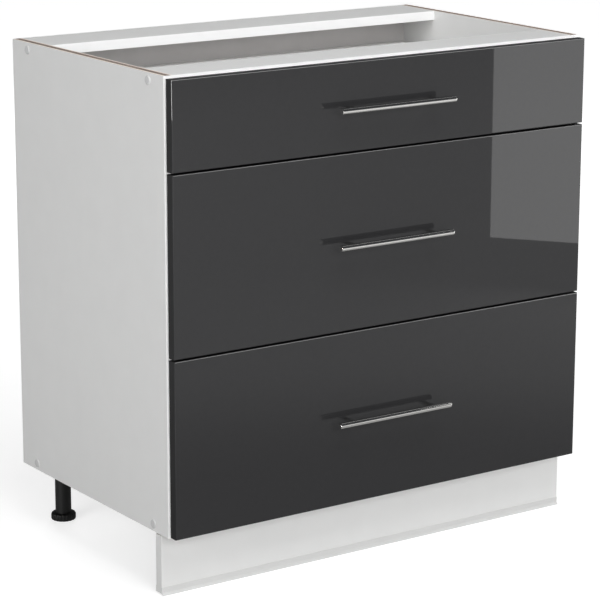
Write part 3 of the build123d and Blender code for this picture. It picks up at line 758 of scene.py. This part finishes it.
# A turned form: a flat sheet is rolled about Z, so a place across it becomes a turn and one along it a ring.
# The sums are named: each is an operation and its values, where a word stands for an input of the tree or
# an earlier sum, and "radius" and "height" place every point. A half section, where there is one, is read
# along the sheet as "share" and "level". Gives every sum by its name, and the form as "solid"
def rolledSheet(tree, size, segments, rings, sums, section=()):
    position = addNode(tree, "GeometryNodeInputPosition")
    fromCorner = addNode(tree, "ShaderNodeVectorMath", {0: position.outputs[0], 1: (0.5, 0.5, 0)})
    place = addNode(tree, "ShaderNodeSeparateXYZ", {0: fromCorner.outputs[0]})
    known = {socket.name: socket for socket in size}
    known.update({"around": place.outputs[0], "along": place.outputs[1]})
    for name, heights in zip(("share", "level"), zip(*section)):
        node = addNode(tree, "ShaderNodeFloatCurve", {"Value": known["along"]})
        curve = node.mapping.curves[0]
        curve.points[0].location = (0, heights[0])
        curve.points[1].location = (1, heights[-1])
        for step in range(1, len(heights) - 1):
            curve.points.new(step / (len(heights) - 1), heights[step])
        for point in curve.points:
            point.handle_type = "VECTOR"
        node.mapping.update()
        known[name] = node.outputs[0]
    steps = {
        "columns": ("ADD", segments, 1.0), "rows": ("ADD", rings, 1.0), **sums,
        "angle": ("MULTIPLY", "around", 2 * math.pi),
        "cosine": ("COSINE", "angle"), "x": ("MULTIPLY", "radius", "cosine"),
        "sine": ("SINE", "angle"), "y": ("MULTIPLY", "radius", "sine"),
    }
    for name, (operation, *values) in steps.items():
        values = [known[value] if isinstance(value, str) else value for value in values]
        node = addNode(tree, "ShaderNodeMath", dict(enumerate(values)), operation=operation)
        known[name] = node.outputs[0]
    sheet = addNode(tree, "GeometryNodeMeshGrid", {
        "Size X": 1.0, "Size Y": 1.0, "Vertices X": known["columns"], "Vertices Y": known["rows"],
    })
    rolled = addNode(tree, "ShaderNodeCombineXYZ", {0: known["x"], 1: known["y"], 2: known["height"]})
    shape = addNode(tree, "GeometryNodeSetPosition", {
        "Geometry": sheet.outputs["Mesh"], "Position": rolled.outputs[0],
    })
    shape = addNode(tree, "GeometryNodeMergeByDistance", {
        "Geometry": shape.outputs[0], "Distance": weld,
    })
    known["solid"] = shape.outputs[0]
    return known


# A thread climbs once round for every pitch that a point has travelled: 1 on its crest, 0 in its groove
threadSums = {
    "turns": ("DIVIDE", "travel", "Pitch"), "phase": ("SUBTRACT", "turns", "around"),
    "wave": ("PINGPONG", "phase", 0.5), "crest": ("MULTIPLY", "wave", 2.0),
}

# Crosshead screws, cold formed and thread rolled, then zinc plated: a low pan head with a cross recess
# and a coarse thread. Each one stands where its plain shape is in the construction model.
screwMake = {
    "segments": 14,
    "headRings": 5,
    "ringsPerTurn": 5,
    "pitch": 0.62,  # of the shank's diameter
    "threadDepth": 0.22,  # of the shank radius
    "tip": 1.6,  # length of the point, in shank radii
    "recess": 0.58,  # reach of the cross, in head radii
    "recessDepth": 0.62,  # of the head height
    "armWidth": 0.24,  # of its reach
    "armTaper": 0.45,  # an arm's reach at its bottom, as a share of that at its top
    "sharpAngle": 34,
    "seed": 7,
}


def screwTree(spec):
    tree, size = newTree("crossheadScrews", {
        "Head radius": "Float", "Head height": "Float", "Shank radius": "Float", "Length": "Float",
        "Pitch": "Float", "Thread depth": "Float", "Tip": "Float", "Recess": "Float",
        "Recess depth": "Float", "Rings": "Int", "Segments": "Int", "Seed": "Int", "Finish": "Material",
    })

    # One sheet is rolled into the whole screw: its first rings are the head, the others the shank. The cross
    # recess is two tapered arms, cut one after the other
    firstRing = spec["headRings"] + 1
    sums = rolledSheet(tree, size, "Segments", "Rings", {
        "ring": ("MULTIPLY", "along", "Rings"),
        "isHead": ("LESS_THAN", "ring", firstRing - 0.5), "isShank": ("SUBTRACT", 1.0, "isHead"),
        "headShare": ("DIVIDE", "ring", spec["headRings"]), "headRing": ("MINIMUM", "headShare", 1.0),
        "domeAngle": ("MULTIPLY", "headRing", math.pi / 2),
        "domeSine": ("SINE", "domeAngle"), "domeRadius": ("MULTIPLY", "domeSine", "Head radius"),
        "domeCosine": ("COSINE", "domeAngle"), "domeHeight": ("MULTIPLY", "domeCosine", "Head height"),
        "pastHead": ("SUBTRACT", "ring", firstRing), "shankRing": ("MAXIMUM", "pastHead", 0.0),
        "shankRings": ("SUBTRACT", "Rings", firstRing),
        "shankShare": ("DIVIDE", "shankRing", "shankRings"), "travel": ("MULTIPLY", "shankShare", "Length"),
        **threadSums,
        "valley": ("SUBTRACT", 1.0, "crest"), "groove": ("MULTIPLY", "valley", "Thread depth"),
        "left": ("SUBTRACT", "Length", "travel"), "tipShare": ("DIVIDE", "left", "Tip"),
        "taper": ("MINIMUM", "tipShare", 1.0), "threaded": ("SUBTRACT", "Shank radius", "groove"),
        "shankRadius": ("MULTIPLY", "threaded", "taper"),
        "ofHead": ("MULTIPLY", "domeRadius", "isHead"), "ofShank": ("MULTIPLY", "shankRadius", "isShank"),
        "radius": ("ADD", "ofHead", "ofShank"),
        "headOnly": ("MULTIPLY", "domeHeight", "isHead"), "height": ("SUBTRACT", "headOnly", "travel"),
        "armBottom": ("MULTIPLY", "Recess", spec["armTaper"]),
        "armDepth": ("MULTIPLY", "Recess depth", 2.0),
        "armMiddle": ("SUBTRACT", "Head height", "Recess depth"),
    })
    screw = addNode(tree, "GeometryNodeFlipFaces", {0: sums["solid"]})
    arm = addNode(tree, "GeometryNodeMeshCone", {
        "Vertices": 4, "Radius Top": size["Recess"], "Radius Bottom": sums["armBottom"],
        "Depth": sums["armDepth"],
    })
    seat = addNode(tree, "ShaderNodeCombineXYZ", {2: sums["armMiddle"]})
    for turn in (0, 90):
        cutter = addNode(tree, "GeometryNodeTransform", {
            "Geometry": arm.outputs[0], "Rotation": (0, 0, math.radians(45)),
        })
        cutter = addNode(tree, "GeometryNodeTransform", {
            "Geometry": cutter.outputs[0], "Scale": (1, spec["armWidth"], 1),
            "Rotation": (0, 0, math.radians(turn)), "Translation": seat.outputs[0],
        })
        screw = addNode(tree, "GeometryNodeMeshBoolean", {
            "Mesh 1": screw.outputs[0], "Mesh 2": cutter.outputs[0],
        }, operation="DIFFERENCE", solver="EXACT")

    # Each screw points out of its hole and stops at a turn of its own
    out = addNode(tree, "GeometryNodeInputNamedAttribute", {"Name": "outwards"}, data_type="FLOAT_VECTOR")
    aim = addNode(tree, "FunctionNodeAlignRotationToVector", {"Vector": out.outputs[0]}, axis="Z")
    spin = addNode(tree, "FunctionNodeRandomValue", {3: 2 * math.pi, 8: size["Seed"]}, data_type="FLOAT")
    spin = addNode(tree, "FunctionNodeAxisAngleToRotation", {"Axis": (0, 0, 1), "Angle": spin.outputs[1]})
    aim = addNode(tree, "FunctionNodeRotateRotation", {
        "Rotation": aim.outputs[0], "Rotate By": spin.outputs[0],
    }, rotation_space="LOCAL")
    standOnPoints(tree, size, screw, aim.outputs[0])
    return tree


rimShare = 0.98  # points past this share of a head's radius are its rim
sizeDigits = 5  # screws are of one kind if their sizes in metres agree to this many places


# Reads where the plain screws of a node are: screws of one size are kept together, in the mesh's own order
def plainScrews(node):
    shape = bmesh.new()
    shape.from_mesh(nodes[node].data)
    bmesh.ops.remove_doubles(shape, verts=shape.verts, dist=cadWeld)
    waiting = set(shape.verts)
    kinds = {}
    for first in shape.verts:
        if first not in waiting:
            continue
        waiting.remove(first)
        found = [first]
        island = []
        while found:
            point = found.pop()
            island.append(point.co.copy())
            for edge in point.link_edges:
                other = edge.other_vert(point)
                if other in waiting:
                    waiting.remove(other)
                    found.append(other)
        low = Vector([min(p[i] for p in island) for i in range(3)])
        high = Vector([max(p[i] for p in island) for i in range(3)])
        reach = high - low
        axis = max(range(3), key=lambda i: reach[i])
        middle = (low + high) / 2
        u, v = [i for i in range(3) if i != axis]
        widths = [(math.hypot(p[u] - middle[u], p[v] - middle[v]), p[axis]) for p in island]
        headRadius = max(width for width, spot in widths)
        rim = [spot for width, spot in widths if width > headRadius * rimShare]
        headUp = sum(rim) / len(rim) > middle[axis]
        end = high[axis] if headUp else low[axis]
        shankRadius = max(width for width, spot in widths if abs(spot - end) > reach[axis] / 2)
        seat = min(rim) if headUp else max(rim)
        outwards = Vector((0, 0, 0))
        outwards[axis] = 1 if headUp else -1
        place = middle.copy()
        place[axis] = seat
        key = tuple(round(value, sizeDigits) for value in (
            headRadius, abs(end - seat), shankRadius, reach[axis] - abs(end - seat),
        ))
        kinds.setdefault(key, []).append((place, outwards))
    shape.free()
    return kinds


def threadedScrews(name, node, body, tree, spec, finish):
    meshes = []
    count = 0
    for (headRadius, headHeight, shankRadius, length), places in sorted(plainScrews(node).items()):
        points = bpy.data.meshes.new(name)
        points.from_pydata([place for place, outwards in places], [], [])
        aims = points.attributes.new("outwards", "FLOAT_VECTOR", "POINT")
        aims.data.foreach_set("vector", [value for place, outwards in places for value in outwards])
        pitch = spec["pitch"] * shankRadius * 2
        meshes.append(growMesh(tree, points, {
            "Head radius": headRadius, "Head height": headHeight, "Shank radius": shankRadius,
            "Length": length, "Pitch": pitch, "Thread depth": spec["threadDepth"] * shankRadius,
            "Tip": spec["tip"] * shankRadius, "Recess": spec["recess"] * headRadius,
            "Recess depth": spec["recessDepth"] * headHeight,
            "Rings": spec["headRings"] + 1 + round(length / pitch * spec["ringsPerTurn"]),
            "Segments": spec["segments"], "Seed": spec["seed"] + count, "Finish": finish,
        }, spec["sharpAngle"]))
        count += len(places)
    placePiece(name, meshes, body, [node])
    print(name, count)


crosshead = screwTree(screwMake)
threadedScrews("fittingScrews", "fitting_screws", "cabinet", crosshead, screwMake, metalMade["zincPlate"])
for level in levels:
    threadedScrews(
        f"{level}DrawerScrews", f"{level}_drawer_screws", f"{level}_drawer", crosshead, screwMake,
        metalMade["zincPlate"],
    )
print("screws driven")

# Levelling feet, moulded ABS in one piece with their stem: a scalloped wheel to turn by hand, dished
# underneath, and a coarse rounded thread that runs in the leg tube.
footMake = {
    "wheelRadius": 21.0,  # millimetres
    "wheelHeight": 12.0,
    "ribs": 20,
    "ribDepth": 1.1,
    "segments": 160,
    "stemRadius": 5.98,
    "stemLength": 55.0,
    "stemSegments": 24,
    "pitch": 4.0,
    "threadDepth": 0.8,
    "ringsPerTurn": 8,
    "point": 2.0,  # the stem's end is chamfered over this length
    "sharpAngle": 50,
    # The wheel's half section from the middle of its sole to the middle of its top, as shares of its
    # radius and its height
    "section": (
        (0.0, 0.12), (0.66, 0.12), (0.72, 0.0), (0.93, 0.0), (0.98, 0.05), (1.0, 0.16), (1.0, 0.74),
        (0.98, 0.86), (0.93, 0.96), (0.86, 1.0), (0.42, 1.0), (0.0, 1.0),
    ),
    "ribsFrom": 0.88,  # the scallops fade in outside this share of the radius
    "ribsFull": 0.96,
}


def footTree(spec):
    tree, size = newTree("levellingFoot", {
        "Wheel radius": "Float", "Wheel height": "Float", "Ribs": "Int", "Rib depth": "Float",
        "Segments": "Int", "Stem radius": "Float", "Stem length": "Float", "Stem segments": "Int",
        "Stem rings": "Int", "Pitch": "Float", "Thread depth": "Float", "Point": "Float",
        "Finish": "Material",
    })
    wheel = rolledSheet(tree, size, "Segments", float(len(spec["section"]) - 1), {
        "pastRibs": ("SUBTRACT", "share", spec["ribsFrom"]),
        "ribShare": ("DIVIDE", "pastRibs", spec["ribsFull"] - spec["ribsFrom"]),
        "fadeUp": ("MAXIMUM", "ribShare", 0.0), "fade": ("MINIMUM", "fadeUp", 1.0),
        "ribTurn": ("MULTIPLY", "around", "Ribs"), "ribAngle": ("MULTIPLY", "ribTurn", math.pi),
        "ribSine": ("SINE", "ribAngle"), "rib": ("ABSOLUTE", "ribSine"),
        "valley": ("SUBTRACT", 1.0, "rib"), "scallop": ("MULTIPLY", "valley", "Rib depth"),
        "hollow": ("MULTIPLY", "scallop", "fade"), "full": ("MULTIPLY", "share", "Wheel radius"),
        "radius": ("SUBTRACT", "full", "hollow"), "height": ("MULTIPLY", "level", "Wheel height"),
    }, spec["section"])

    # The stem's first and last rings are closed in the middle; the rest climb from inside the wheel
    stem = rolledSheet(tree, size, "Stem segments", "Stem rings", {
        "ring": ("MULTIPLY", "along", "Stem rings"), "climbed": ("SUBTRACT", "ring", 1.0),
        "climbRings": ("SUBTRACT", "Stem rings", 2.0), "climbShare": ("DIVIDE", "climbed", "climbRings"),
        "climbUp": ("MAXIMUM", "climbShare", 0.0), "climb": ("MINIMUM", "climbUp", 1.0),
        "whole": ("ADD", "Stem length", "Wheel height"), "travel": ("MULTIPLY", "climb", "whole"),
        **threadSums,
        "rounded": ("SQRT", "crest"), "valley": ("SUBTRACT", 1.0, "rounded"),
        "groove": ("MULTIPLY", "valley", "Thread depth"), "left": ("SUBTRACT", "whole", "travel"),
        "pastPoint": ("SUBTRACT", "Point", "left"), "inPoint": ("MAXIMUM", "pastPoint", 0.0),
        "chamfer": ("MULTIPLY", "inPoint", 0.5), "threaded": ("SUBTRACT", "Stem radius", "groove"),
        "turned": ("SUBTRACT", "threaded", "chamfer"),
        "afterFirst": ("GREATER_THAN", "ring", 0.5), "lastRing": ("SUBTRACT", "Stem rings", 0.5),
        "beforeLast": ("LESS_THAN", "ring", "lastRing"), "open": ("MULTIPLY", "afterFirst", "beforeLast"),
        "radius": ("MULTIPLY", "turned", "open"), "start": ("MULTIPLY", "Wheel height", 0.5),
        "height": ("MAXIMUM", "travel", "start"),
    })
    both = addNode(tree, "GeometryNodeJoinGeometry")
    tree.links.new(wheel["solid"], both.inputs[0])
    tree.links.new(stem["solid"], both.inputs[0])
    standOnPoints(tree, size, both, (0, 0, 0))
    return tree


levellingFoot = footTree(footMake)
stemTurns = footMake["stemLength"] / footMake["pitch"]
for foot in feet:
    low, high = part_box(foot)
    start = bpy.data.meshes.new(foot)
    start.from_pydata([((low[0] + high[0]) / 2, (low[1] + high[1]) / 2, low[2])], [], [])
    wheelAndStem = growMesh(levellingFoot, start, {
        "Wheel radius": footMake["wheelRadius"] * mm, "Wheel height": footMake["wheelHeight"] * mm,
        "Ribs": footMake["ribs"], "Rib depth": footMake["ribDepth"] * mm, "Segments": footMake["segments"],
        "Stem radius": footMake["stemRadius"] * mm, "Stem length": footMake["stemLength"] * mm,
        "Stem segments": footMake["stemSegments"], "Pitch": footMake["pitch"] * mm,
        "Stem rings": round(stemTurns * footMake["ringsPerTurn"]),
        "Thread depth": footMake["threadDepth"] * mm,
        "Point": footMake["point"] * mm, "Finish": plasticMade["blackAbs"],
    }, footMake["sharpAngle"])
    placePiece(f"levelling_{foot}", [wheelAndStem], foot, [foot])
print("feet turned")

# Buffers on the back of each drawer front, where it meets the side panels: small clear domes, cast flat
# on their sticky side
bufferMake = {
    "radius": 4.0,  # millimetres
    "height": 2.7,
    "segments": 28,
    "rings": 14,
    "inset": 14.0,  # from the top and the bottom of the front
    "sharpAngle": 40,
}


def bufferTree():
    tree, size = newTree("frontBuffers", {
        "Radius": "Float", "Height": "Float", "Segments": "Int", "Rings": "Int", "Finish": "Material",
    })
    ball = addNode(tree, "GeometryNodeMeshUVSphere", {
        "Segments": size["Segments"], "Rings": size["Rings"], "Radius": 1.0,
    })
    spread = addNode(tree, "ShaderNodeCombineXYZ", {
        0: size["Radius"], 1: size["Radius"], 2: size["Height"],
    })
    ball = addNode(tree, "GeometryNodeTransform", {
        "Geometry": ball.outputs["Mesh"], "Scale": spread.outputs[0],
    })

    # The lower half of the ball is pressed flat, and the dome is turned to stand on the front's back
    position = addNode(tree, "GeometryNodeInputPosition")
    flat = addNode(tree, "ShaderNodeVectorMath", {
        0: position.outputs[0], 1: (-1, -1, 0),
    }, operation="MAXIMUM")
    dome = addNode(tree, "GeometryNodeSetPosition", {
        "Geometry": ball.outputs[0], "Position": flat.outputs[0],
    })
    standOnPoints(tree, size, dome, (math.radians(-90), 0, 0))
    return tree


frontBuffers = bufferTree()
panelLow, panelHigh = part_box("side_panel_right")
across = (panelLow[0] + panelHigh[0]) / 2
inset = bufferMake["inset"] * mm
for level in levels:
    low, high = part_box(f"{level}_drawer_front")
    start = bpy.data.meshes.new(f"{level}Buffers")
    heights = (low[2] + inset, high[2] - inset)
    start.from_pydata([(x, high[1], z) for x in (-across, across) for z in heights], [], [])
    buffers = growMesh(frontBuffers, start, {
        "Radius": bufferMake["radius"] * mm, "Height": bufferMake["height"] * mm,
        "Segments": bufferMake["segments"], "Rings": bufferMake["rings"],
        "Finish": plasticMade["clearPolyurethane"],
    }, bufferMake["sharpAngle"])
    placePiece(f"{level}FrontBuffers", [buffers], f"{level}_drawer", [])
print("buffers stuck on")

bpy.context.scene.view_settings.view_transform = "Standard"
